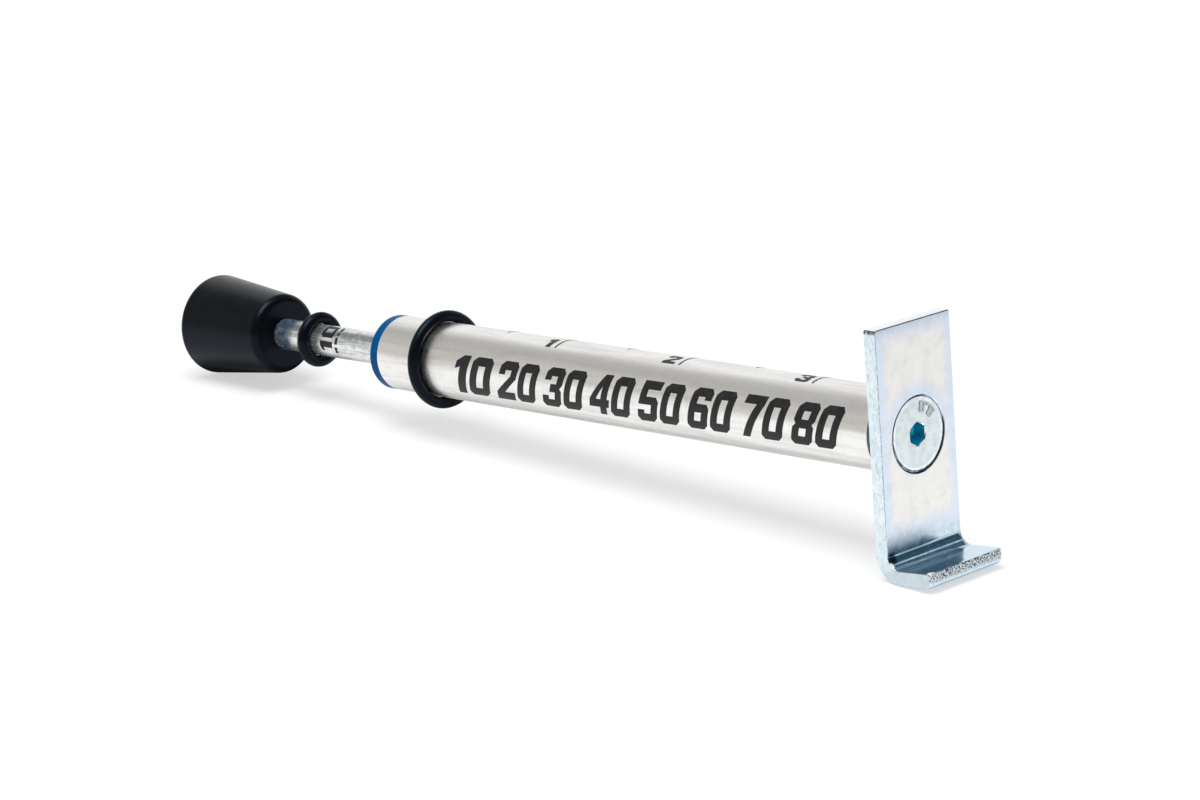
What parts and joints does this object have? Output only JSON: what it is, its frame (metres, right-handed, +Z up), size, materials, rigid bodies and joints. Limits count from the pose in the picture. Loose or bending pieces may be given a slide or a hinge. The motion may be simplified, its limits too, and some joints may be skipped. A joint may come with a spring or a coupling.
{
  "type": "belt tension tester",
  "caption": "Pencil-style belt tension tester: spring plunger in a scaled tube with sliding marker rings, a rubber push knob and a bent steel foot that sets on the belt.",
  "frame": {"origin": "on the table under the middle of the tool's length and width, with the tool lying on its foot's bend and its knob's edge", "axes": "+X towards the bracket in plan, +Z up from the table; the tool's own axis rises towards the bracket by the tilt at which it lies"},
  "size_m": [0.1612, 0.0162, 0.0346],
  "materials": {
    "satin_aluminium": "satin, fine turned grain",
    "plug_aluminium": "machined",
    "zinc_plate": "bright zinc plate with sheared edges",
    "screw_zinc": "blue zinc plate",
    "blue_bush": "satin blue",
    "spring_steel": "drawn wire",
    "rod_zinc": "bright zinc plate",
    "collar_brass": "machined",
    "clip_steel": "spring steel",
    "black_rubber": "satin moulded",
    "ring_rubber": "satin moulded"
  },
  "bodies": {
    "barrel": {"barrel_tube": "satin_aluminium", "end_plug": "plug_aluminium", "belt_bracket": "zinc_plate", "bracket_screw": "screw_zinc", "guide_bush": "blue_bush", "force_spring": "spring_steel"},
    "plunger": {"plunger_rod": "rod_zinc", "spring_collar": "collar_brass", "collar_clip": "clip_steel", "knob": "black_rubber", "knob_disc": "clip_steel"},
    "force_marker": {"force_ring": "ring_rubber"},
    "deflection_marker": {"deflection_ring": "ring_rubber"}
  },
  "joints": [
    {"name": "plunger_slide", "type": "slide", "parent": "barrel", "child": "plunger", "axis": [0.9974, 0, 0.0715], "range_m": [0, 0.0154], "stiffness_N_per_m": 2700, "springref_m": -0.001, "deforming": ["force_spring"]},
    {"name": "force_marker_slide", "type": "slide", "parent": "plunger", "child": "force_marker", "axis": [0.9974, 0, 0.0715], "range_m": [-0.0073, 0.0024]},
    {"name": "deflection_marker_slide", "type": "slide", "parent": "barrel", "child": "deflection_marker", "axis": [0.9974, 0, 0.0715], "range_m": [-0.0084, 0.0923]}
  ]
}
